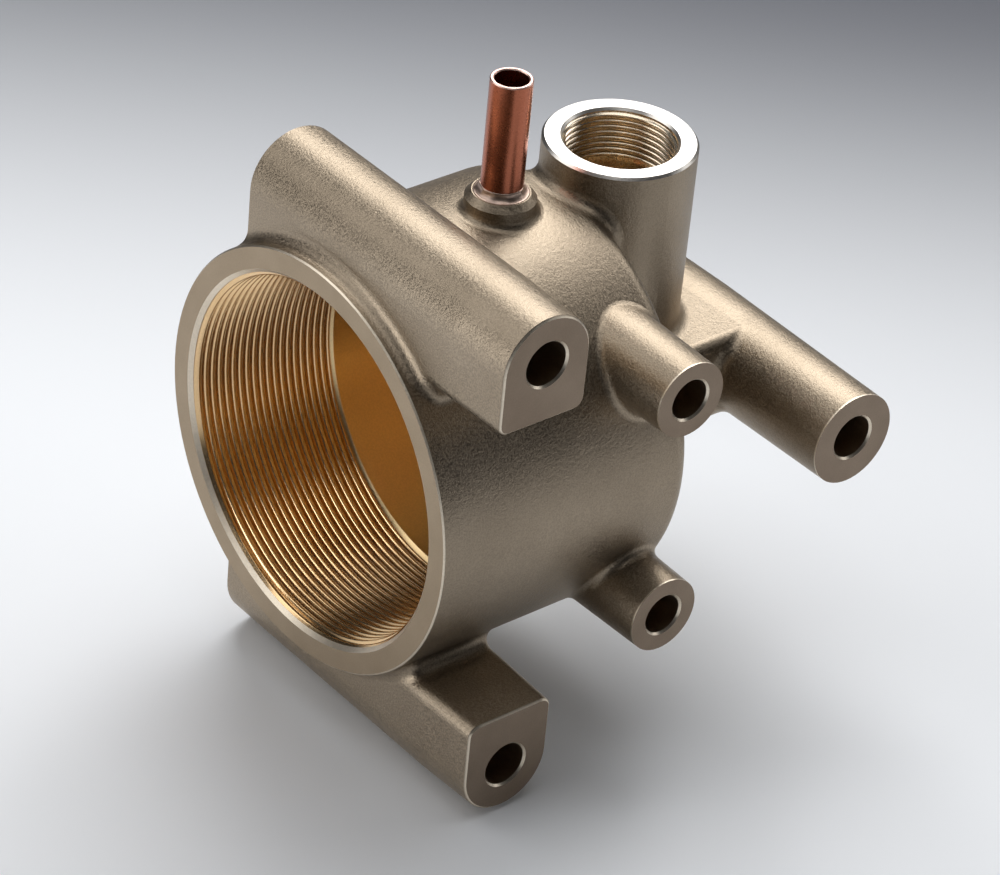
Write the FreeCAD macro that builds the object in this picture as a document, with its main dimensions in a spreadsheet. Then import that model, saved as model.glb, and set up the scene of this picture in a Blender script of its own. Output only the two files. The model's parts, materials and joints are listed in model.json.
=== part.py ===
"""Pump casing, cast in one piece of bronze and then machined.

A short barrel is the pump chamber.  It lies along Y, open and threaded at the mouth (Y = 0) and closed
by a wall at the rear.  Three long drilled lugs and two short bosses end in one plane on the right (+X):
a lug above the barrel, one below it and one behind it on a web.  The outlet port stands upright on that
web, close behind the rear wall.  A copper sensing tube is brazed into a small boss on top.

Origin: centre of the mouth face.  +Y points into the chamber, +Z up, +X along the bores of the lugs.
"""
import FreeCAD, Part
import math
import os
import Sketcher
from FreeCAD import Vector

DIMENSIONS = (
    # barrel and chamber
    ("barrel_radius", 51.5, "outside of the barrel"),
    ("barrel_length", 72.5, "mouth face to the outside of the rear wall"),
    ("rear_edge_radius", 4.5, "cast rounding of the rear edge"),
    ("mouth_edge", 0.35, "edge broken round the mouth face"),
    ("mouth_chamfer_radius", 46.0, "entry chamfer at the mouth face"),
    ("mouth_thread_radius", 45.0, "major radius of the M90 x 2 thread"),
    ("mouth_thread_length", 40.0, "its threaded length"),
    ("chamber_radius", 43.8, "smooth bore behind the thread"),
    ("chamber_depth", 67.0, "mouth face to the inside of the rear wall"),
    # long lugs
    ("face_plane", 60.0, "machined end faces of all lugs and bosses"),
    ("lug_left", 31.5, "reach of the lugs left of the barrel axis"),
    ("parting_plane", 3.0, "joint of the two mould halves"),
    ("lug_radius", 12.5, "round side of a lug"),
    ("lug_shoulder", 42.0, "start of the tapered arm of a front lug"),
    ("arm_draft", 1.9, "taper of that arm, degrees"),
    ("lug_setback", 16.7, "front lug axes behind the mouth face"),
    ("lug_height", 55.0, "front lug axes above and below the barrel axis"),
    ("lug_flat", 39.4, "flat on the side that overhangs the barrel"),
    ("lug_root", 35.0, "foot of a lug's left half, inside the barrel wall"),
    ("lug_corner", 3.4, "corner radius beside the flat"),
    ("lug_bore", 5.5, "through bore for an M10 bolt"),
    ("rear_lug_back", 115.5, "rear lug axis behind the mouth face"),
    ("rear_lug_drop", 0.4, "rear lug cast this much below its bore"),
    ("rear_lug_draft", 0.7, "its taper both ways from the mould joint, degrees"),
    # short bosses
    ("boss_back", 61.0, "short boss axes behind the mouth face"),
    ("boss_height", 30.0, "short boss axes above and below the barrel axis"),
    ("boss_radius", 9.5, "short boss at its end face"),
    ("boss_draft", 1.4, "taper of the short bosses, degrees"),
    ("boss_foot", 29.0, "plane inside the chamber where the bosses start"),
    ("boss_bore", 5.0, "blind hole in a short boss"),
    ("boss_bore_depth", 20.0, "depth of that hole"),
    # outlet port and web
    ("port_back", 87.0, "port axis behind the mouth face"),
    ("port_height", 59.5, "port face above the barrel axis"),
    ("port_radius", 18.4, "outside of the port"),
    ("port_edge", 0.6, "chamfer round the port face"),
    ("port_thread_radius", 13.5, "major radius of the M27 x 1.5 thread"),
    ("port_thread_length", 13.5, "its threaded length"),
    ("port_bore", 12.6, "smooth bore below the thread"),
    ("port_floor", 1.0, "floor of the port above the barrel axis"),
    ("passage_radius", 8.0, "passage from the chamber to the port"),
    ("passage_height", 10.5, "passage axis above the barrel axis"),
    ("web_half_width", 24.5, "half width of the web behind the rear wall"),
    ("web_half_height", 11.5, "half height of the web"),
    ("web_edge", 2.5, "rounding of its long edges"),
    # tube
    ("tube_back", 51.8, "copper tube axis behind the mouth face"),
    ("tube_boss_radius", 8.4, "boss round the tube"),
    ("tube_boss_top", 56.4, "top of that boss above the barrel axis"),
    ("tube_boss_edge", 1.5, "chamfer round its top"),
    ("tube_radius", 5.0, "outside of the 10 mm copper tube"),
    ("tube_bore", 4.0, "inside of the tube"),
    ("tube_edge", 0.25, "edges broken at its open end"),
    ("tube_seat", 47.5, "shoulder the tube stands on"),
    ("tube_top", 85.8, "open end of the tube"),
    ("tap_radius", 3.0, "drilling from the shoulder into the chamber"),
    ("braze_width", 1.4, "braze fillet out from the tube"),
    ("braze_height", 2.0, "braze fillet up the tube"),
    # blends and chamfers shared by several features
    ("lug_blend", 3.0, "fillet where a front lug meets the barrel"),
    ("boss_blend", 2.0, "fillet at the foot of a boss"),
    ("port_blend", 3.0, "fillet where the port and the web meet the barrel"),
    ("rear_lug_blend", 3.5, "fillet where the web meets the rear lug"),
    ("bore_chamfer", 0.5, "chamfer at the mouth of a drilled hole"),
    ("port_chamfer", 0.6, "chamfer at the mouth of the port thread"),
)
SIZE = {alias: value for alias, value, note in DIMENSIONS}
QUARTER = math.pi / 2
UPRIGHT = Vector(0, 0, 1)


def sheet_of(document):
    """Spreadsheet that holds every driving dimension under its alias."""
    sheet = document.addObject("Spreadsheet::Sheet", "Dimensions")
    for row, (alias, value, note) in enumerate(DIMENSIONS, start=1):
        sheet.set(f"A{row}", note)
        sheet.set(f"B{row}", str(value))
        sheet.setAlias(f"B{row}", alias)
    document.recompute()


def linked(expression):
    """Expression with each plain alias turned into a reference to the spreadsheet."""
    words = expression.split()
    return " ".join(f"Dimensions.{word}" if word in SIZE else word for word in words)


class Sketch:
    """A sketch on an origin plane of a body, tied to the spreadsheet."""

    def __init__(self, body, name, plane, offset="0"):
        self.item = body.newObject("Sketcher::SketchObject", name)
        support = next(part for part in body.Origin.OriginFeatures if part.Role == plane)
        self.item.AttachmentSupport = (support, [""])
        self.item.MapMode = "FlatFace"
        self.item.setExpression(".AttachmentOffset.Base.z", linked(offset))
        self.item.Visibility = False

    def tie(self, kind, where, value, expression):
        """Constraint that follows an expression; value is where it starts."""
        number = self.item.addConstraint(Sketcher.Constraint(kind, *where, value))
        self.item.setExpression(f"Constraints[{number}]", linked(expression))

    def tie_point(self, curve, end, across=None, up=None):
        """Distances of one point of a curve from the sketch origin."""
        point = self.item.getPoint(curve, end)
        if across is not None:
            self.tie("DistanceX", (-1, 1, curve, end), point.x, across)
        if up is not None:
            self.tie("DistanceY", (-1, 1, curve, end), point.y, up)

    def circle(self, centre, radius, across, up):
        """Circle with its radius and its centre tied to the spreadsheet."""
        curve = self.item.addGeometry(Part.Circle(Vector(*centre, 0), UPRIGHT, SIZE[radius]))
        self.tie("Radius", (curve,), SIZE[radius], radius)
        self.tie_point(curve, 3, across, up)

    def arc(self, across, up, radius, start, end):
        circle = Part.Circle(Vector(across, up, 0), UPRIGHT, radius)
        return self.item.addGeometry(Part.ArcOfCircle(circle, start, end))

    def line(self, start, end):
        return self.item.addGeometry(Part.LineSegment(Vector(*start, 0), Vector(*end, 0)))

    def join(self, kind, curves):
        """Ties the end of each curve to the start of the next, round a closed loop."""
        for curve, follower in zip(curves, curves[1:] + curves[:1]):
            self.item.addConstraint(Sketcher.Constraint(kind, curve, 2, follower, 1))

    def outline(self, points):
        """Closed polygon; each corner is (x, y, x expression, y expression)."""
        places = [(x, y) for x, y, across, up in points]
        curves = [self.line(start, end) for start, end in zip(places, places[1:] + places[:1])]
        self.join("Coincident", curves)
        for curve, (x, y, across, up) in zip(curves, points):
            self.tie_point(curve, 1, across, up)


def feature(body, kind, name, sketch=None, bound=None, **plain):
    """PartDesign feature with plain settings and others bound to the spreadsheet."""
    item = body.newObject(f"PartDesign::{kind}", name)
    if sketch is not None:
        item.Profile = sketch.item
    for key, value in plain.items():
        setattr(item, key, value)
    for key, expression in (bound or {}).items():
        item.setExpression(key, linked(expression))
    body.Document.recompute()
    return item


def spin(body, kind, name, sketch):
    """Full turn of a sketch about its own vertical axis."""
    return feature(body, kind, name, sketch, ReferenceAxis=(sketch.item, ["V_Axis"]), Angle=360.0)


def dress(body, kind, name, size, wanted):
    """Fillet or chamfer on every edge of the body whose middle point passes a test."""
    base, names = body.Tip, []
    for number, edge in enumerate(base.Shape.Edges, start=1):
        middle = edge.valueAt((edge.FirstParameter + edge.LastParameter) / 2)
        if wanted(edge, middle):
            names.append(f"Edge{number}")
    if not names:
        raise RuntimeError(f"{name}: no edge to work on")
    key = "Radius" if kind == "Fillet" else "Size"
    return feature(body, kind, name, None, {key: size}, Base=(base, names))


def near(value, target, slack=0.3):
    return abs(value - target) < slack


# --- the casting ------------------------------------------------------------------------------------


def barrel(body):
    """Solid barrel, turned about Y, with a cast rounding at the rear edge."""
    radius, length = SIZE["barrel_radius"], SIZE["barrel_length"]
    sketch = Sketch(body, "BarrelProfile", "XY_Plane")
    sketch.outline((
        (0, 0, "0", "0"),
        (radius, 0, "barrel_radius", "0"),
        (radius, length, "barrel_radius", "barrel_length"),
        (0, length, "0", "barrel_length"),
    ))
    spin(body, "Revolution", "Barrel", sketch)
    dress(body, "Fillet", "RearEdge", "rear_edge_radius",
          lambda edge, middle: near(middle.y, length))


def lug_section(body, name, flat, offset):
    """Section of the upper lug: a dome away from the barrel, two flanks and a flat with round corners."""
    radius, corner, base_height = SIZE["lug_radius"], SIZE["lug_corner"], SIZE[flat]
    back, height = SIZE["lug_setback"], SIZE["lug_height"]
    corner_height = base_height + corner
    sketch = Sketch(body, name, "YZ_Plane", offset)
    dome = sketch.arc(back, height, radius, 0, 2 * QUARTER)
    front = sketch.line((back - radius, height), (back - radius, corner_height))
    front_corner = sketch.arc(back - radius + corner, corner_height, corner, 2 * QUARTER, 3 * QUARTER)
    base = sketch.line((back - radius + corner, base_height), (back + radius - corner, base_height))
    rear_corner = sketch.arc(back + radius - corner, corner_height, corner, 3 * QUARTER, 4 * QUARTER)
    rear = sketch.line((back + radius, corner_height), (back + radius, height))
    sketch.join("Tangent", [dome, front, front_corner, base, rear_corner, rear])
    for flank in (front, rear):
        sketch.item.addConstraint(Sketcher.Constraint("Vertical", flank))
    sketch.tie("Radius", (dome,), radius, "lug_radius")
    for curve in (front_corner, rear_corner):
        sketch.tie("Radius", (curve,), corner, "lug_corner")
    sketch.tie_point(dome, 3, "lug_setback", "lug_height")
    sketch.tie_point(base, 1, None, flat)
    return sketch


def front_lugs(body):
    """Upper lug, with a tapered free arm and a left half that stands on the barrel, and its mirror image."""
    root = feature(body, "Pad", "UpperLug", lug_section(body, "LugSection", "lug_flat", "parting_plane"), {
        "Length": "lug_shoulder - parting_plane"})
    arm = feature(body, "Pad", "UpperLugArm", lug_section(body, "ArmSection", "lug_flat", "lug_shoulder"), {
        "Length": "face_plane - lug_shoulder", "TaperAngle": "0 - arm_draft"})
    left = feature(body, "Pad", "UpperLugLeft", lug_section(body, "LeftSection", "lug_root", "parting_plane"), {
        "Length": "lug_left + parting_plane"}, Reversed=True)
    level = next(part for part in body.Origin.OriginFeatures if part.Role == "XY_Plane")
    body.Tip = feature(body, "Mirrored", "LowerLug", Originals=[root, arm, left], MirrorPlane=(level, [""]))
    body.Document.recompute()

    def meets_barrel(edge, middle):
        across = math.hypot(middle.x, middle.z)
        return near(across, SIZE["barrel_radius"], 0.05) and 1 < middle.y < SIZE["barrel_length"] - 5

    dress(body, "Fillet", "LugBlend", "lug_blend", meets_barrel)


def short_bosses(body):
    """Two drafted bosses on the right of the barrel, one above and one below its axis."""
    back, height = SIZE["boss_back"], SIZE["boss_height"]
    sketch = Sketch(body, "BossSection", "YZ_Plane", "face_plane")
    sketch.circle((back, height), "boss_radius", "boss_back", "boss_height")
    sketch.circle((back, -height), "boss_radius", "boss_back", "0 - boss_height")
    feature(body, "Pad", "ShortBosses", sketch, {
        "Length": "face_plane - boss_foot", "TaperAngle": "boss_draft"}, Reversed=True)

    def foot(edge, middle):
        off_axis = math.hypot(middle.y - back, abs(middle.z) - height)
        return near(off_axis, SIZE["boss_radius"] + 0.6, 0.9) and 25 < middle.x and edge.BoundBox.XMax < 58

    dress(body, "Fillet", "BossBlend", "boss_blend", foot)


def tube_boss(body):
    """Small round boss on top that takes the copper tube."""
    back, radius = SIZE["tube_back"], SIZE["tube_boss_radius"]
    sketch = Sketch(body, "TubeBossSection", "XY_Plane", "tube_boss_top")
    sketch.circle((0, back), "tube_boss_radius", "0", "tube_back")
    feature(body, "Pad", "TubeBoss", sketch, {"Length": "tube_boss_top - tube_seat"}, Reversed=True)

    def ring_edge(edge, middle):
        return near(math.hypot(middle.x, middle.y - back), radius)

    dress(body, "Fillet", "TubeBossBlend", "boss_blend",
          lambda edge, middle: ring_edge(edge, middle) and near(middle.z, SIZE["barrel_radius"], 1.0))
    dress(body, "Chamfer", "TubeBossEdge", "tube_boss_edge",
          lambda edge, middle: ring_edge(edge, middle) and near(middle.z, SIZE["tube_boss_top"]))


def outlet_port(body):
    """Upright port close behind the rear wall, blended into it and over its rounded edge."""
    sketch = Sketch(body, "PortSection", "XY_Plane", "port_height")
    sketch.circle((0, SIZE["port_back"]), "port_radius", "0", "port_back")
    feature(body, "Pad", "Port", sketch, {"Length": "port_height"}, Reversed=True)

    def meets_barrel(edge, middle):
        return middle.y < SIZE["barrel_length"] + 0.5 and abs(middle.x) < 12 and 5 < middle.z < 54 \
            and middle.y > SIZE["port_back"] - SIZE["port_radius"] - 0.5

    dress(body, "Fillet", "PortBlend", "port_blend", meets_barrel)


def rear_lug(body):
    """Round lug behind the barrel, drafted both ways from the mould joint."""
    sketch = Sketch(body, "RearLugSection", "YZ_Plane", "parting_plane")
    sketch.circle((SIZE["rear_lug_back"], -SIZE["rear_lug_drop"]), "lug_radius",
                  "rear_lug_back", "0 - rear_lug_drop")
    feature(body, "Pad", "RearLug", sketch, {
        "Length": "face_plane - parting_plane", "TaperAngle": "0 - rear_lug_draft",
        "Length2": "lug_left + parting_plane", "TaperAngle2": "0 - rear_lug_draft"}, SideType="Two sides")


def web_section(body):
    """Section of the web across Y: a flat bar with round edges."""
    width, height, edge = SIZE["web_half_width"], SIZE["web_half_height"], SIZE["web_edge"]
    sketch = Sketch(body, "WebSection", "XZ_Plane", "0 - rear_lug_back")
    item = sketch.item
    corners = [
        sketch.arc(across * (width - edge), up * (height - edge), edge, turn * QUARTER, (turn + 1) * QUARTER)
        for turn, (across, up) in enumerate(((1, 1), (-1, 1), (-1, -1), (1, -1)))]
    sides = []
    for corner, follower in zip(corners, corners[1:] + corners[:1]):
        start, end = item.getPoint(corner, 2), item.getPoint(follower, 1)
        sides.append(sketch.line((start.x, start.y), (end.x, end.y)))
    sketch.join("Tangent", [curve for pair in zip(corners, sides) for curve in pair])
    sketch.tie("Radius", (corners[0],), edge, "web_edge")
    for corner in corners[1:]:
        item.addConstraint(Sketcher.Constraint("Equal", corners[0], corner))
    top, left, bottom, right = sides
    item.addConstraint(Sketcher.Constraint("Horizontal", top))
    item.addConstraint(Sketcher.Constraint("Vertical", left))
    sketch.tie_point(right, 1, "web_half_width", None)
    sketch.tie_point(left, 1, "0 - web_half_width", None)
    sketch.tie_point(top, 1, None, "web_half_height")
    sketch.tie_point(bottom, 1, None, "0 - web_half_height")
    return sketch


def web(body):
    """Web from the rear wall to the rear lug, under the port, blended all round at both ends."""
    feature(body, "Pad", "Web", web_section(body), {"Length": "rear_lug_back - chamber_depth"})
    width = SIZE["web_half_width"] + 0.5

    def meets_lug(edge, middle):
        return abs(middle.x) < width and 101 < middle.y < 114 and edge.BoundBox.YMin > 101 \
            and edge.BoundBox.XMax < 26 and abs(middle.z) < 12.5

    def meets_wall(edge, middle):
        return near(middle.y, SIZE["barrel_length"]) and abs(middle.x) < width and middle.z < 11.8

    dress(body, "Fillet", "WebLugBlend", "rear_lug_blend", meets_lug)
    dress(body, "Fillet", "WebWallBlend", "port_blend", meets_wall)


# --- the machining ----------------------------------------------------------------------------------


def cut(body, name, sketch, length, **plain):
    """Pocket of a given length expression, or a through pocket where that is None."""
    before = body.Tip.Shape.Volume
    if length is None:
        item = feature(body, "Pocket", name, sketch, Type="ThroughAll", **plain)
    else:
        item = feature(body, "Pocket", name, sketch, {"Length": length}, **plain)
    if item.Shape.Volume > before - 1:
        raise RuntimeError(f"{name} removed nothing")


def chamber(body):
    """Chamber bored from the mouth: entry chamfer, thread bore and smooth bore to the rear wall."""
    thread, smooth, depth = SIZE["mouth_thread_radius"], SIZE["chamber_radius"], SIZE["chamber_depth"]
    entry, length = SIZE["mouth_chamfer_radius"], SIZE["mouth_thread_length"]
    sketch = Sketch(body, "ChamberProfile", "XY_Plane")
    sketch.outline((
        (0, 0, "0", "0"),
        (entry, 0, "mouth_chamfer_radius", "0"),
        (thread, entry - thread, "mouth_thread_radius", "mouth_chamfer_radius - mouth_thread_radius"),
        (thread, length, "mouth_thread_radius", "mouth_thread_length"),
        (smooth, length + thread - smooth, "chamber_radius",
         "mouth_thread_length + mouth_thread_radius - chamber_radius"),
        (smooth, depth, "chamber_radius", "chamber_depth"),
        (0, depth, "0", "chamber_depth"),
    ))
    spin(body, "Groove", "Chamber", sketch)
    dress(body, "Chamfer", "MouthEdge", "mouth_edge",
          lambda edge, middle: near(middle.y, 0, 0.01) and near(edge.BoundBox.XMax, SIZE["barrel_radius"], 0.1))


def outlet(body):
    """Port thread bore, smooth bore below it and the passage through the rear wall."""
    height, back = SIZE["port_height"], SIZE["port_back"]
    bore = Sketch(body, "PortBoreSection", "XY_Plane", "port_height")
    bore.circle((0, back), "port_bore", "0", "port_back")
    cut(body, "PortBore", bore, "port_height - port_floor")
    thread = Sketch(body, "PortThreadSection", "XY_Plane", "port_height")
    thread.circle((0, back), "port_thread_radius", "0", "port_back")
    cut(body, "PortThreadBore", thread, "port_thread_length")
    passage = Sketch(body, "PassageSection", "XZ_Plane", "0 - port_back")
    passage.circle((0, SIZE["passage_height"]), "passage_radius", "0", "passage_height")
    cut(body, "Passage", passage, "port_back - chamber_depth + 1", Reversed=True)

    def rim(radius):
        return lambda edge, middle: near(middle.z, height, 0.01) and near(
            math.hypot(middle.x, middle.y - back), radius, 0.1)

    dress(body, "Chamfer", "PortEntry", "port_chamfer", rim(SIZE["port_thread_radius"]))
    dress(body, "Chamfer", "PortEdge", "port_edge", rim(SIZE["port_radius"]))


def drilled_holes(body):
    """Through bores of the three lugs, blind holes of the two bosses and their chamfers."""
    setback, lug_height = SIZE["lug_setback"], SIZE["lug_height"]
    back, height = SIZE["boss_back"], SIZE["boss_height"]
    lugs = Sketch(body, "LugBoreSection", "YZ_Plane", "face_plane")
    lugs.circle((setback, lug_height), "lug_bore", "lug_setback", "lug_height")
    lugs.circle((setback, -lug_height), "lug_bore", "lug_setback", "0 - lug_height")
    lugs.circle((SIZE["rear_lug_back"], 0), "lug_bore", "rear_lug_back", "0")
    cut(body, "LugBores", lugs, None)
    bosses = Sketch(body, "BossBoreSection", "YZ_Plane", "face_plane")
    bosses.circle((back, height), "boss_bore", "boss_back", "boss_height")
    bosses.circle((back, -height), "boss_bore", "boss_back", "0 - boss_height")
    cut(body, "BossBores", bosses, "boss_bore_depth")

    def hole_rim(edge, middle):
        flat = edge.BoundBox.XLength < 0.01
        small = edge.BoundBox.ZLength < 2 * SIZE["lug_bore"] + 0.1 and edge.BoundBox.YLength > 9
        at_end = near(middle.x, SIZE["face_plane"], 0.01) or near(middle.x, -SIZE["lug_left"], 0.01)
        return flat and small and at_end

    dress(body, "Chamfer", "BoreChamfers", "bore_chamfer", hole_rim)


def tube_hole(body):
    """Stepped hole under the tube: a socket for it and a tap drilling into the chamber."""
    centre = (0, SIZE["tube_back"])
    socket = Sketch(body, "TubeSocketSection", "XY_Plane", "tube_boss_top")
    socket.circle(centre, "tube_radius", "0", "tube_back")
    cut(body, "TubeSocket", socket, "tube_boss_top - tube_seat")
    tap = Sketch(body, "TapSection", "XY_Plane", "tube_boss_top")
    tap.circle(centre, "tap_radius", "0", "tube_back")
    cut(body, "TapDrilling", tap, "tube_boss_top - chamber_radius + tap_radius")


def casing(document):
    body = document.addObject("PartDesign::Body", "Casing")
    body.Label = "casing"
    for step in (barrel, front_lugs, short_bosses, tube_boss, outlet_port, rear_lug, web,
                 chamber, outlet, drilled_holes, tube_hole):
        step(body)
    return body


# --- the tube ---------------------------------------------------------------------------------------


def copper_tube(document):
    """Copper tube standing in its socket, with both edges of the open end broken."""
    body = document.addObject("PartDesign::Body", "CopperTube")
    body.Label = "copper_tube"
    sketch = Sketch(body, "TubeSection", "XY_Plane", "tube_seat")
    for radius in ("tube_radius", "tube_bore"):
        sketch.circle((0, SIZE["tube_back"]), radius, "0", "tube_back")
    feature(body, "Pad", "Tube", sketch, {"Length": "tube_top - tube_seat"})
    dress(body, "Chamfer", "TubeEdges", "tube_edge",
          lambda edge, middle: near(edge.BoundBox.ZMin, SIZE["tube_top"], 0.01))
    return body


def braze_fillet(document):
    """Ring of braze metal that lies on the boss against the tube."""
    body = document.addObject("PartDesign::Body", "BrazeFillet")
    body.Label = "braze_fillet"
    body.setExpression(".Placement.Base.y", linked("tube_back"))
    inner, foot = SIZE["tube_radius"], SIZE["tube_boss_top"]
    width, height = SIZE["braze_width"], SIZE["braze_height"]
    sketch = Sketch(body, "BrazeProfile", "XZ_Plane")
    sketch.outline((
        (inner, foot, "tube_radius", "tube_boss_top"),
        (inner + width, foot, "tube_radius + braze_width", "tube_boss_top"),
        (inner, foot + height, "tube_radius", "tube_boss_top + braze_height"),
    ))
    spin(body, "Revolution", "Braze", sketch)
    return body


def check(document, bodies):
    """Stops the build if any object failed or a sub-part has no valid solid."""
    for item in document.Objects:
        if {"Invalid", "Error"} & set(item.State):
            raise RuntimeError(f"{item.Name} failed: {item.State}")
    for body in bodies:
        if body.Shape.isNull() or not body.Shape.isValid() or not body.Shape.Solids:
            raise RuntimeError(f"{body.Label} has no valid solid")


def main():
    document = FreeCAD.newDocument("PumpCasing")
    sheet_of(document)
    bodies = [make(document) for make in (casing, copper_tube, braze_fillet)]
    document.recompute()
    check(document, bodies)
    os.makedirs("parts", exist_ok=True)
    for body in bodies:
        body.Shape.exportStep(f"parts/{body.Label}.step")
        print(body.Label, "volume", round(body.Shape.Volume), "mm3, faces", len(body.Shape.Faces))


main()
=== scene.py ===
# %% [markdown]
# # Bronze pump casing
#
# The real part is one bronze casting. It is poured, shot-blasted to an even satin skin and then machined
# on its mouth, its outlet port, its end faces and its holes. A short copper tube is brazed on top.
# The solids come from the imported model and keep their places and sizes. This notebook gives them their
# finishes, winds the two threads as real ridges, lays the braze, and sets the studio round them.

# %% Load the solids
import bmesh
import bpy
import json
import math
from mathutils import Matrix, Vector, noise


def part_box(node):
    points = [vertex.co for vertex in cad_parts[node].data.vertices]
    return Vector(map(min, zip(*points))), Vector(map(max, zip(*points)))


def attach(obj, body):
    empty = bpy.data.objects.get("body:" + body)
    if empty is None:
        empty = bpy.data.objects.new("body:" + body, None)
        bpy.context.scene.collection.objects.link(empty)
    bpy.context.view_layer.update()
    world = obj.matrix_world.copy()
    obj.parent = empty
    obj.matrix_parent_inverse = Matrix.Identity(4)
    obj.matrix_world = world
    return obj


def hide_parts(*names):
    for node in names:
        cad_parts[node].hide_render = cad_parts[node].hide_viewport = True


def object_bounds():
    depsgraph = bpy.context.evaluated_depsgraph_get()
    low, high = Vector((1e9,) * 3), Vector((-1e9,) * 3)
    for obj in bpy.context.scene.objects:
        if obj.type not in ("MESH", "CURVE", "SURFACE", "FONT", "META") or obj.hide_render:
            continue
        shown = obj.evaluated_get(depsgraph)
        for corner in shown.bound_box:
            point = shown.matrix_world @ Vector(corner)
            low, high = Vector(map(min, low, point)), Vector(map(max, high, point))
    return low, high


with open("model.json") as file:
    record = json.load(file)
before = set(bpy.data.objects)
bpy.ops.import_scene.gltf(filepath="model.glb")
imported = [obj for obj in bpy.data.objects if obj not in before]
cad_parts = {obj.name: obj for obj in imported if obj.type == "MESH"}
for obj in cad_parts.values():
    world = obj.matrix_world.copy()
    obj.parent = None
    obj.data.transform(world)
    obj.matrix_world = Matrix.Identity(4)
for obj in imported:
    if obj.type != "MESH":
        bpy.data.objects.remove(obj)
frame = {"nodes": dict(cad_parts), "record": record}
solids_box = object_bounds()
MM = 0.001
casing = frame["nodes"]["casing"]
tube = frame["nodes"]["copper_tube"]
print("casing has", len(casing.data.polygons), "triangles")

# %% [markdown]
# ## Measures
#
# Everything below hangs on a few sizes of the machined features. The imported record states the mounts, so
# the threads, bores and end faces are read from it. What it doesn't state is written here once, in metres,
# such as the pitches of the threads, the widths of the chamfers and how deep the machining reaches.

# %% Read the mounts
mounts = {mount["name"]: mount for mount in frame["record"]["mounts"]}


def place(name):
    """Where a mount is."""
    return Vector(mounts[name]["pos_m"])


def wall_radius(name):
    """Radius of a round mount."""
    return mounts[name]["dims"]["r_mm"] * MM


END_PLANE = place("end_faces").x
BOSS_HOLE_END = 0.039
HOLE_CHAMFER = 0.0005
CHAMBER_AXIS = Vector((0, 0, 0))
CHAMBER_DEPTH = 0.067
MOUTH_RADIUS = wall_radius("mouth_thread")
MOUTH_CHAMFER = 0.001
MOUTH_EDGE = 0.00035
MOUTH_PITCH = 0.002
MOUTH_TURNS = 19.6
PORT_AXIS = Vector((place("port_thread").x, place("port_thread").y, 0))
PORT_TOP = place("port_face").z
PORT_FLOOR = 0.001
PORT_RADIUS = wall_radius("port_thread")
PORT_RIM = 0.019
PORT_CHAMFER = 0.0006
PORT_PITCH = 0.0015
PORT_TURNS = 8.2
TUBE_AXIS = Vector((place("tube_bore").x, place("tube_bore").y, 0))
TUBE_RADIUS = 0.005
print("end faces at x =", END_PLANE, "port top at z =", PORT_TOP)

# %% [markdown]
# ## Camera
#
# The part is looked at from above its right front corner, with a long lens that keeps parallel edges
# nearly parallel. A camera aims along its own -Z, so it is tracked to a point on the part and then rolled
# a little about the line of sight.

# %% Place the camera
CAMERA_PLACE = (0.6457, -0.5193, 0.5753)
LOOKS_AT = (0.02504, 0.03644, 0.00831)
ROLL_DEGREES = 5.67
lens = bpy.data.cameras.new("long_lens")
lens.sensor_width = 36
lens.lens = 159
camera = bpy.data.objects.new("camera", lens)
bpy.context.scene.collection.objects.link(camera)
camera.location = CAMERA_PLACE
aim = Vector(LOOKS_AT) - camera.location
roll = Matrix.Rotation(math.radians(ROLL_DEGREES), 4, "Z")
turned_to_part = aim.to_track_quat("-Z", "Y").to_matrix().to_4x4()
camera.matrix_world = Matrix.Translation(camera.location) @ turned_to_part @ roll
bpy.context.scene.camera = camera
print("camera is", round(aim.length, 3), "m away")

# %% [markdown]
# ## A node group for fine grain
#
# Blasted bronze is speckled: each shot leaves a tiny crater with a bright rim. Two noise patterns, a fine
# one and a coarser one, add up to a height for the Bump node. The fine one alone is the mask for brightness
# and roughness, and a third, much larger one makes cloudy patches for the tint. Every finish uses them at
# scales of its own, so they are one group that hands out its masks and leaves the shader outside.

# %% Helpers for node trees
def add(tree, kind, **settings):
    """One node, with its settings and the plain values of its inputs."""
    node = tree.nodes.new(kind)
    for key, value in settings.items():
        if key in node.inputs:
            node.inputs[key].default_value = value
        else:
            setattr(node, key, value)
    return node


def group_tree(name, inputs, outputs):
    """Empty shader node group with named float and vector sockets."""
    tree = bpy.data.node_groups.new(name, "ShaderNodeTree")
    for label, kind, value in inputs:
        socket = tree.interface.new_socket(label, in_out="INPUT", socket_type=kind)
        if value is not None:
            socket.default_value = value
    for label, kind in outputs:
        tree.interface.new_socket(label, in_out="OUTPUT", socket_type=kind)
    return tree, tree.nodes.new("NodeGroupInput"), tree.nodes.new("NodeGroupOutput")


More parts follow.
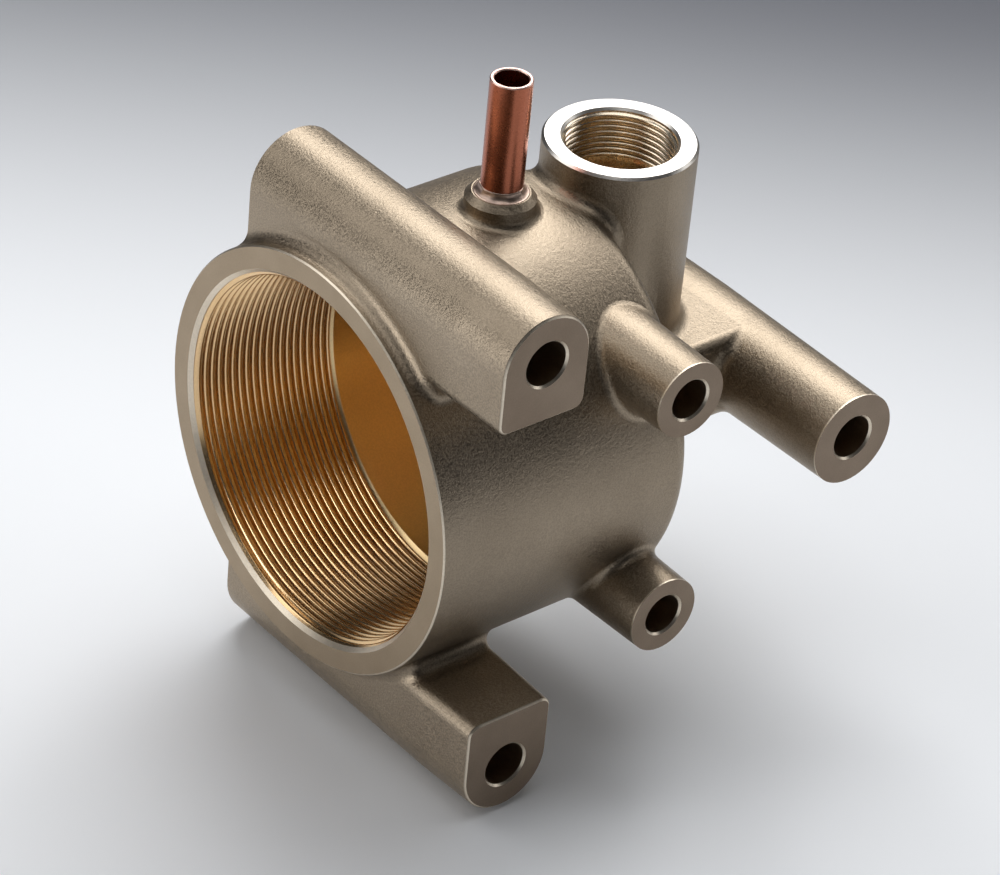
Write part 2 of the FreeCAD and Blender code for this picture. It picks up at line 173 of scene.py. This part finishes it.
# %% Build the grain group
def build_grain():
    """Blasted or sand-cast grain: height and speckle at one scale, cloudy patches at a larger one."""
    tree, given, result = group_tree(
        "metal_grain",
        [("Vector", "NodeSocketVector", None), ("Grain Scale", "NodeSocketFloat", 1500.0),
         ("Patch Scale", "NodeSocketFloat", 60.0)],
        [("Height", "NodeSocketFloat"), ("Speckle", "NodeSocketFloat"), ("Patches", "NodeSocketFloat")])
    fine = add(tree, "ShaderNodeTexNoise", Detail=3.0, Roughness=0.6)
    coarse = add(tree, "ShaderNodeTexNoise", Detail=2.0, Roughness=0.5)
    half = add(tree, "ShaderNodeMath", operation="MULTIPLY")
    half.inputs[1].default_value = 0.4
    patch = add(tree, "ShaderNodeTexNoise", Detail=4.0, Roughness=0.55)
    for node, scale in ((fine, "Grain Scale"), (patch, "Patch Scale")):
        tree.links.new(given.outputs["Vector"], node.inputs["Vector"])
        tree.links.new(given.outputs[scale], node.inputs["Scale"])
    tree.links.new(given.outputs["Vector"], coarse.inputs["Vector"])
    tree.links.new(given.outputs["Grain Scale"], half.inputs[0])
    tree.links.new(half.outputs[0], coarse.inputs["Scale"])
    both = add(tree, "ShaderNodeMath", operation="ADD")
    tree.links.new(fine.outputs["Fac"], both.inputs[0])
    tree.links.new(coarse.outputs["Fac"], both.inputs[1])
    tree.links.new(both.outputs[0], result.inputs["Height"])
    speckle = add(tree, "ShaderNodeMapRange", interpolation_type="SMOOTHSTEP")
    speckle.inputs["From Min"].default_value = 0.35
    speckle.inputs["From Max"].default_value = 0.65
    tree.links.new(fine.outputs["Fac"], speckle.inputs["Value"])
    tree.links.new(speckle.outputs[0], result.inputs["Speckle"])
    tree.links.new(patch.outputs["Fac"], result.inputs["Patches"])
    return tree


GRAIN = build_grain()

# %% [markdown]
# ## A node group for tool marks
#
# A lathe leaves fine rings round its axis, and a milling cutter leaves fine parallel or curved lines. Both
# are one noise stretched far along the direction of cutting. The group takes the distance from the lathe's
# axis, or a plain coordinate, as its input and returns streaks of uneven depth.

# %% Build the tool mark group
MARK_HEIGHT = 0.00003


def build_tool_marks():
    """Fine lines that follow one coordinate: give it a radius for rings or a length for straight lines."""
    tree, given, result = group_tree(
        "tool_marks",
        [("Across", "NodeSocketFloat", 0.0), ("Pitch", "NodeSocketFloat", 0.0002)],
        [("Height", "NodeSocketFloat")])
    share = add(tree, "ShaderNodeMath", operation="DIVIDE")
    tree.links.new(given.outputs["Across"], share.inputs[0])
    tree.links.new(given.outputs["Pitch"], share.inputs[1])
    lines = add(tree, "ShaderNodeTexNoise", noise_dimensions="1D", Scale=1.0, Detail=3.0, Roughness=0.7)
    tree.links.new(share.outputs[0], lines.inputs["W"])
    tree.links.new(lines.outputs["Fac"], result.inputs["Height"])
    return tree


TOOL_MARKS = build_tool_marks()


# %% [markdown]
# ## Finishes
#
# All of the casting is the same metal, so its finishes share one recipe: a metallic Principled shader whose
# tint wanders between two bronzes, with grain or tool marks in its bump. Blasting makes the skin matt and
# pale. A sharp tool leaves the threads and the chamber bright and golden, because the clean metal shows
# there. The milled end faces are flat, and their tint is darker as painted shade for the dim side they face.
# Some cut surfaces carry painted light in their tints. The port face is near white as a painted highlight of
# the softbox above it, the port's bore and thread are paler as painted light, and the drilled holes' tint is
# darkened as painted shade inside them. A thin band of the skin along the end faces is lightened as a
# painted highlight on their edges.

# %% One recipe for every metal
def metal(name, tints, roughness, grain, bump, marks=None, speckle=0.05):
    """Metallic material.

    grain is (scale of the grain, scale of the patches) and bump is (strength, height).
    marks is (a point on the axis, weights of X, Y and Z, pitch, strength).
    """
    material = bpy.data.materials.new(name)
    material.use_nodes = True
    tree = material.node_tree
    tree.nodes.clear()
    output = tree.nodes.new("ShaderNodeOutputMaterial")
    shader = add(tree, "ShaderNodeBsdfPrincipled", Metallic=1.0)
    tree.links.new(shader.outputs[0], output.inputs[0])
    place_of = tree.nodes.new("ShaderNodeTexCoord")
    texture = tree.nodes.new("ShaderNodeGroup")
    texture.node_tree = GRAIN
    texture.inputs["Grain Scale"].default_value, texture.inputs["Patch Scale"].default_value = grain
    tree.links.new(place_of.outputs["Object"], texture.inputs["Vector"])
    patches = add(tree, "ShaderNodeMapRange")
    patches.inputs["From Min"].default_value = 0.3
    patches.inputs["From Max"].default_value = 0.7
    tree.links.new(texture.outputs["Patches"], patches.inputs["Value"])
    tint = add(tree, "ShaderNodeMix", data_type="RGBA")
    for socket, colour in zip([s for s in tint.inputs if s.type == "RGBA"], tints):
        socket.default_value = (*colour, 1)
    tree.links.new(patches.outputs[0], tint.inputs["Factor"])
    speckled = add(tree, "ShaderNodeHueSaturation")
    value = add(tree, "ShaderNodeMapRange")
    value.inputs["To Min"].default_value = 1 - speckle
    value.inputs["To Max"].default_value = 1 + speckle
    tree.links.new(texture.outputs["Speckle"], value.inputs["Value"])
    tree.links.new(value.outputs[0], speckled.inputs["Value"])
    tree.links.new(tint.outputs[2], speckled.inputs["Color"])
    tree.links.new(speckled.outputs[0], shader.inputs["Base Color"])
    rough = add(tree, "ShaderNodeMapRange")
    rough.inputs["To Min"].default_value = roughness - speckle / 2
    rough.inputs["To Max"].default_value = roughness + speckle / 2
    tree.links.new(texture.outputs["Speckle"], rough.inputs["Value"])
    tree.links.new(rough.outputs[0], shader.inputs["Roughness"])
    strength, distance = bump
    grain_bump = add(tree, "ShaderNodeBump", Strength=strength, Distance=distance)
    tree.links.new(texture.outputs["Height"], grain_bump.inputs["Height"])
    last = grain_bump
    if marks is not None:
        last = add_marks(tree, place_of, grain_bump, *marks)
    tree.links.new(last.outputs[0], shader.inputs["Normal"])
    return material


def add_marks(tree, place_of, before, centre, across, pitch, strength):
    """Tool marks on top of the grain.  Across weighs X, Y and Z: two of them give rings, one gives lines."""
    shift = add(tree, "ShaderNodeVectorMath", operation="SUBTRACT")
    shift.inputs[1].default_value = centre
    tree.links.new(place_of.outputs["Object"], shift.inputs[0])
    flatten = add(tree, "ShaderNodeVectorMath", operation="MULTIPLY")
    flatten.inputs[1].default_value = across
    tree.links.new(shift.outputs[0], flatten.inputs[0])
    distance = add(tree, "ShaderNodeVectorMath", operation="LENGTH")
    tree.links.new(flatten.outputs[0], distance.inputs[0])
    lines = tree.nodes.new("ShaderNodeGroup")
    lines.node_tree = TOOL_MARKS
    lines.inputs["Pitch"].default_value = pitch
    tree.links.new(distance.outputs["Value"], lines.inputs["Across"])
    bump = add(tree, "ShaderNodeBump", Strength=strength, Distance=MARK_HEIGHT)
    tree.links.new(lines.outputs["Height"], bump.inputs["Height"])
    tree.links.new(before.outputs[0], bump.inputs["Normal"])
    return bump


BRIGHT_METAL = (0.86, 0.76, 0.62)
# Width of the painted highlight band along the end faces' edges.
HIGHLIGHT_BAND_START, HIGHLIGHT_BAND_FULL = 0.0005, 0.0002


def arris_with_painted_highlight(material):
    """Bright band round each lug and boss end: bright metal where the facing cut broke the skin's edge, and a
    painted highlight for the shine along that edge.
    """
    tree = material.node_tree
    shader = next(node for node in tree.nodes if node.type == "BSDF_PRINCIPLED")
    before = shader.inputs["Base Color"].links[0].from_socket
    where = tree.nodes.new("ShaderNodeTexCoord")
    split = tree.nodes.new("ShaderNodeSeparateXYZ")
    tree.links.new(where.outputs["Object"], split.inputs[0])
    # Painted highlight: the base colour turns to bright metal over the last half millimetre before the end
    # faces.
    edge = tree.nodes.new("ShaderNodeMapRange")
    edge.inputs["From Min"].default_value = END_PLANE - HIGHLIGHT_BAND_START
    edge.inputs["From Max"].default_value = END_PLANE - HIGHLIGHT_BAND_FULL
    tree.links.new(split.outputs["X"], edge.inputs["Value"])
    lift = add(tree, "ShaderNodeMix", data_type="RGBA")
    first, second = [socket for socket in lift.inputs if socket.type == "RGBA"]
    second.default_value = (*BRIGHT_METAL, 1)
    tree.links.new(before, first)
    tree.links.new(edge.outputs[0], lift.inputs["Factor"])
    tree.links.new(lift.outputs[2], shader.inputs["Base Color"])


# %% Mix the finishes
ABOUT_Y = (1, 0, 1)
ABOUT_Z = (1, 1, 0)
ALONG_Y = (0, 1, 0)
ALONG_Z = (0, 0, 1)
skin = metal("blasted_bronze", [(0.315, 0.255, 0.187), (0.370, 0.302, 0.225)], 0.42, (2400, 45),
             (1.0, 0.00008), speckle=0.2)
# The skin gets a painted highlight in a thin band along the end faces' edges, over bright broken metal.
arris_with_painted_highlight(skin)
# The milled tint is darker than the skin's: painted shade for the dim side the end faces turn to.
milled_with_painted_shade = metal("milled_face_painted_shade", [(0.235, 0.178, 0.130), (0.28, 0.217, 0.161)], 0.44, (2600, 90), (0.3, 0.00003),
               (CHAMBER_AXIS, ALONG_Z, 0.0003, 0.35))
turned = metal("turned_mouth_face", [(0.33, 0.255, 0.173), (0.38, 0.296, 0.205)], 0.40, (2400, 80),
               (0.2, 0.00003), (CHAMBER_AXIS, ABOUT_Y, 0.0003, 0.35))
# The port face's near-white tint is a painted highlight of the overhead softbox on the turned face.
port_face = metal("turned_port_face_painted_highlight", [(0.78, 0.74, 0.68), (0.86, 0.82, 0.77)], 0.30, (2400, 80),
                  (0.05, 0.00002), (PORT_AXIS, ABOUT_Z, 0.00025, 0.2))
golden = metal("bored_chamber", [(0.88, 0.65, 0.34), (0.92, 0.69, 0.38)], 0.30, (2000, 40), (0.02, 0.00002),
               (CHAMBER_AXIS, ALONG_Y, 0.0006, 0.03))
# The port's bore and thread tints are paler than the chamber's: painted light on the port's inner walls.
port_gold_painted_light = metal("bored_port_painted_light", [(0.86, 0.68, 0.46), (0.90, 0.73, 0.51)], 0.28, (2000, 60), (0.02, 0.00002))
thread_gold = metal("cut_thread", [(0.80, 0.54, 0.28), (0.86, 0.60, 0.33)], 0.2, (2200, 60), (0.02, 0.00002))
pale_thread_painted_light = metal("port_thread", [(0.90, 0.76, 0.58), (0.94, 0.81, 0.63)], 0.22, (2200, 60),
                    (0.02, 0.00002))
# The drilled tint is darkened: painted shade inside the holes, over the drilled bronze's own colour.
drilled_with_painted_shade = metal("drilled_bore_painted_shade", [(0.48, 0.35, 0.23), (0.56, 0.42, 0.29)], 0.38, (2200, 90), (0.1, 0.00002))
chamfer = metal("bright_chamfer", [(0.80, 0.70, 0.56), BRIGHT_METAL], 0.36, (2200, 90), (0.02, 0.00002))
copper = metal("drawn_copper", [(0.43, 0.140, 0.078), (0.45, 0.150, 0.085)], 0.28, (1400, 90),
               (0.01, 0.00001), speckle=0.02)
cut_copper = metal("cut_copper", [(0.80, 0.52, 0.44), (0.86, 0.60, 0.52)], 0.34, (1400, 90), (0.02, 0.00002))
braze_metal = metal("braze_metal", [(0.46, 0.34, 0.27), (0.66, 0.50, 0.42)], 0.38, (1200, 500),
                    (0.4, 0.00006))


# %% [markdown]
# ## Which face gets which finish
#
# A machinist would mark up a print: this face turned, that hole drilled. The same is done here with the
# casing's own triangles. Each triangle's middle is measured against the machined planes and axes. Where it
# lies on one of them it takes that finish, and everything else keeps the blasted skin.

# %% Mark up the casing
TOUCH = 0.0001
FACE_TOUCH = 0.00005
SQUARE_ON = 0.9
HOLES_ALONG_X = ("upper_lug_bore", "lower_lug_bore", "rear_lug_bore", "upper_boss_bore", "lower_boss_bore")


def off_axis(point, centre, axis):
    """Distance of a point from a line along X, Y or Z."""
    gap = point - centre
    gap["XYZ".index(axis)] = 0
    return gap.length


def lug_finish(point, normal):
    """Holes along X and the end faces that they open in."""
    for name in HOLES_ALONG_X:
        distance = off_axis(point, place(name), "X")
        if not name.endswith("lug_bore") and point.x < BOSS_HOLE_END:
            continue
        if distance < wall_radius(name) + TOUCH:
            return drilled_with_painted_shade
        if distance < wall_radius(name) + HOLE_CHAMFER + TOUCH and abs(normal.x) < SQUARE_ON:
            return chamfer
    return milled_with_painted_shade if point.x > END_PLANE - FACE_TOUCH else None


def chamber_finish(point, normal):
    """Everything turned from the mouth."""
    distance = off_axis(point, CHAMBER_AXIS, "Y")
    if point.y < MOUTH_EDGE + FACE_TOUCH and distance > MOUTH_RADIUS + MOUTH_CHAMFER - TOUCH:
        return turned if abs(normal.y) > SQUARE_ON else chamfer
    if distance < MOUTH_RADIUS + MOUTH_CHAMFER + TOUCH and -TOUCH < point.y < CHAMBER_DEPTH + TOUCH:
        return chamfer if point.y < MOUTH_CHAMFER - TOUCH else golden
    return None


def port_finish(point, normal):
    """Everything turned from the top of the port."""
    distance = off_axis(point, PORT_AXIS, "Z")
    if point.z > PORT_TOP - PORT_CHAMFER - TOUCH and distance < PORT_RIM:
        return port_face if distance > PORT_RADIUS + FACE_TOUCH else port_gold_painted_light
    return port_gold_painted_light if distance < PORT_RADIUS + TOUCH and point.z > PORT_FLOOR - TOUCH else None


finishes = [skin, milled_with_painted_shade, turned, port_face, golden, port_gold_painted_light, drilled_with_painted_shade, chamfer]
casing.data.materials.clear()
for finish in finishes:
    casing.data.materials.append(finish)
for triangle in casing.data.polygons:
    triangle.material_index = 0
    for rule in (lug_finish, chamber_finish, port_finish):
        finish = rule(triangle.center, triangle.normal)
        if finish is not None:
            triangle.material_index = finishes.index(finish)
            break
counts = {f.name: sum(t.material_index == i for t in casing.data.polygons) for i, f in enumerate(finishes)}
print(counts)
tube.data.materials.clear()
tube.data.materials.append(copper)
tube.data.materials.append(cut_copper)
for triangle in tube.data.polygons:
    triangle.material_index = int(triangle.normal.z > 0.5)


# %% [markdown]
# ## Threads
#
# A metric thread is one ridge that winds along the bore. A lathe tool cuts the groove and leaves the ridge,
# so the ridge is what is added here. Its sharp corners are broken when the bore is deburred and polished,
# so its section is a smooth wave of the metric depth, carried round the axis and up one pitch a turn. Near
# the mouth each of its points is held just outside the cone of the entry chamfer, so the first turn fades
# in as it does behind a real countersink.

# %% Wind the thread ridges
THREAD_STEPS = 96
THREAD_POINTS = 11
THREAD_DEPTH = 0.5413
THREAD_HALF_WIDTH = 0.46
THREAD_BITE = 0.04
CHAMFER_GAP = 0.00004


def finish_piece(mesh_data, name, material):
    """Object from a bmesh, smooth, riding on the part's one body."""
    bmesh.ops.recalc_face_normals(mesh_data, faces=mesh_data.faces)
    mesh = bpy.data.meshes.new(name)
    mesh_data.to_mesh(mesh)
    mesh_data.free()
    mesh.materials.append(material)
    piece = bpy.data.objects.new(name, mesh)
    bpy.context.scene.collection.objects.link(piece)
    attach(piece, "root")
    print(name, "has", len(mesh.polygons), "faces")
    return piece


def wind_thread(name, radius, pitch, turns, to_world, entry, material):
    """Ridge of an internal metric thread about Z; entry is where the entry chamfer's cone meets the face."""
    depth = THREAD_DEPTH * pitch
    bite = THREAD_BITE * pitch
    half_width = THREAD_HALF_WIDTH * pitch
    profile = []
    for point in range(THREAD_POINTS):
        across = 2 * point / (THREAD_POINTS - 1) - 1
        lift = 0.5 + 0.5 * math.cos(math.pi * across)
        profile.append((radius + bite - (depth + bite) * lift, half_width * across))
    ridge = bmesh.new()
    rows = []
    for step in range(round(THREAD_STEPS * turns) + 1):
        turn = 2 * math.pi * step / THREAD_STEPS
        climb = half_width + pitch * step / THREAD_STEPS
        row = []
        for reach, height in profile:
            reach = max(reach, entry + CHAMFER_GAP - climb - height)
            row.append(ridge.verts.new((reach * math.cos(turn), reach * math.sin(turn), climb + height)))
        rows.append(row)
    for near, far in zip(rows, rows[1:]):
        for side in range(len(profile)):
            ridge.faces.new((near[side - 1], near[side], far[side], far[side - 1])).smooth = True
    ridge.faces.new(rows[0])
    ridge.faces.new(rows[-1])
    bmesh.ops.transform(ridge, matrix=to_world, verts=ridge.verts)
    finish_piece(ridge, name, material)


into_mouth = Matrix.Rotation(math.radians(-90), 4, "X")
wind_thread("mouth_thread", MOUTH_RADIUS, MOUTH_PITCH, MOUTH_TURNS, into_mouth, MOUTH_RADIUS + MOUTH_CHAMFER,
            thread_gold)
into_port = Matrix.Translation(PORT_AXIS + Vector((0, 0, PORT_TOP))) @ Matrix.Rotation(math.pi, 4, "X")
wind_thread("port_thread", PORT_RADIUS, PORT_PITCH, PORT_TURNS, into_port, PORT_RADIUS + PORT_CHAMFER,
            pale_thread_painted_light)

# %% [markdown]
# ## Braze
#
# The tube is held by braze metal that ran round it and froze in a hollow fillet with soft lumps. A short
# hollow curve is spun round the tube for the fillet, and the ring is then pushed in and out with smooth
# noise, because molten metal never wets a joint evenly.

# %% Lay the braze
BRAZE_BITE = 0.0002
BRAZE_CURVE_STEPS = 8
BRAZE_RING_STEPS = 96
BRAZE_FOOT = 0.0001
LUMP_HEIGHT = 0.0003
LUMP_SCALE = 420


def lay_braze():
    """Lumpy ring of braze round the foot of the tube."""
    low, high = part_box("braze_fillet")
    outer, top = (high.x - low.x) / 2, high.z - low.z
    bead = bmesh.new()
    outline = [Vector((TUBE_RADIUS - BRAZE_BITE, 0, 0))]
    for step in range(BRAZE_CURVE_STEPS + 1):
        turn = math.radians(90) * step / BRAZE_CURVE_STEPS
        reach = outer + BRAZE_BITE - (outer - TUBE_RADIUS) * math.sin(turn)
        outline.append(Vector((reach, 0, top * (1 - math.cos(turn)))))
    outline.append(Vector((TUBE_RADIUS - BRAZE_BITE, 0, top)))
    corners = [bead.verts.new(point + Vector((0, 0, low.z))) for point in outline]
    edges = [bead.edges.new(pair) for pair in zip(corners, corners[1:] + corners[:1])]
    bmesh.ops.spin(bead, geom=corners + edges, cent=(0, 0, 0), axis=(0, 0, 1), angle=2 * math.pi,
                   steps=BRAZE_RING_STEPS, use_merge=True)
    for vertex in bead.verts:
        distance = math.hypot(vertex.co.x, vertex.co.y)
        if distance > TUBE_RADIUS and vertex.co.z > low.z + BRAZE_FOOT:
            swell = LUMP_HEIGHT * noise.noise(vertex.co * LUMP_SCALE)
            vertex.co += Vector((vertex.co.x, vertex.co.y, 0)).normalized() * swell
    bmesh.ops.translate(bead, vec=TUBE_AXIS, verts=bead.verts)
    for face in bead.faces:
        face.smooth = True
    return finish_piece(bead, "braze_bead", braze_metal)


braze_bead = lay_braze()
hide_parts("braze_fillet")

# %% [markdown]
# ## Studio
#
# The part stands on a sheet of pale paper. The key softbox is high behind it, so the tops of the round
# shapes shine and what turns away falls dark, which is how satin metal shows its form. Weaker boxes stand
# over it, at the back for the rims, at the right, and at the front, high on the left and low down, where
# they open the mouth and its thread. The room is dim. A real paper sweep fades into shade towards the back,
# so that fade is painted in its colour.

# %% Floor and lights
DOME_CENTRE = Vector((0, 0.05, 0))
DOME_RADIUS = 1.2
FLOOR_GAP = 0.0005
FLOOR_SIZE = 6
FADE_DIRECTION = (-0.70, 0.714, 0)
FADE_SPAN = (0.08, 0.42)
PAPER_NEAR = (0.86, 0.88, 0.91)
PAPER_FAR = (0.075, 0.08, 0.098)
ROOM_COLOUR = (0.02, 0.0205, 0.022, 1)


def pale_floor():
    """Wide plain floor under the lowest point of the part, darker towards the back, a little to the right."""
    level = solids_box[0][2] - FLOOR_GAP
    ground = bmesh.new()
    bmesh.ops.create_grid(ground, x_segments=1, y_segments=1, size=FLOOR_SIZE)
    bmesh.ops.translate(ground, vec=(0, 0, level), verts=ground.verts)
    mesh = bpy.data.meshes.new("floor")
    ground.to_mesh(mesh)
    ground.free()
    floor = bpy.data.objects.new("floor", mesh)
    bpy.context.scene.collection.objects.link(floor)
    material = bpy.data.materials.new("floor_paper")
    material.use_nodes = True
    tree = material.node_tree
    shader = tree.nodes["Principled BSDF"]
    shader.inputs["Roughness"].default_value = 0.6
    where = tree.nodes.new("ShaderNodeTexCoord")
    away = add(tree, "ShaderNodeVectorMath", operation="DOT_PRODUCT")
    away.inputs[1].default_value = FADE_DIRECTION
    tree.links.new(where.outputs["Object"], away.inputs[0])
    fade = add(tree, "ShaderNodeMapRange", interpolation_type="SMOOTHSTEP")
    fade.inputs["From Min"].default_value, fade.inputs["From Max"].default_value = FADE_SPAN
    tree.links.new(away.outputs["Value"], fade.inputs["Value"])
    paper = add(tree, "ShaderNodeMix", data_type="RGBA")
    for socket, colour in zip([s for s in paper.inputs if s.type == "RGBA"], (PAPER_NEAR, PAPER_FAR)):
        socket.default_value = (*colour, 1)
    tree.links.new(fade.outputs[0], paper.inputs["Factor"])
    tree.links.new(paper.outputs[2], shader.inputs["Base Color"])
    mesh.materials.append(material)


def softbox(name, azimuth, elevation, size, watts):
    """Square area light on a dome round the part, aimed at its middle.  Azimuth runs from +X towards +Y."""
    around, above = math.radians(azimuth), math.radians(elevation)
    level = Vector((math.cos(around), math.sin(around), 0))
    outward = math.cos(above) * level + math.sin(above) * Vector((0, 0, 1))
    light = bpy.data.lights.new(name, "AREA")
    light.shape = "SQUARE"
    light.size = size
    light.energy = watts
    lamp = bpy.data.objects.new(name, light)
    bpy.context.scene.collection.objects.link(lamp)
    lamp.location = DOME_CENTRE + DOME_RADIUS * outward
    lamp.rotation_euler = (-outward).to_track_quat("-Z", "Y").to_euler()


pale_floor()
softbox("key_softbox", 142, 50, 0.8, 9.6)
softbox("rim_softbox", 105, 38, 0.7, 4.2)
softbox("overhead_softbox", 0, 89, 0.9, 3.2)
softbox("front_left_softbox", 226, 44, 0.7, 2.6)
softbox("low_front_softbox", 258, 12, 0.6, 4.6)
softbox("right_softbox", 68, 20, 0.5, 1.0)
room = bpy.data.worlds.new("room")
bpy.context.scene.world = room
room.use_nodes = True
room.node_tree.nodes["Background"].inputs["Color"].default_value = ROOM_COLOUR
bpy.context.scene.view_settings.view_transform = "Standard"
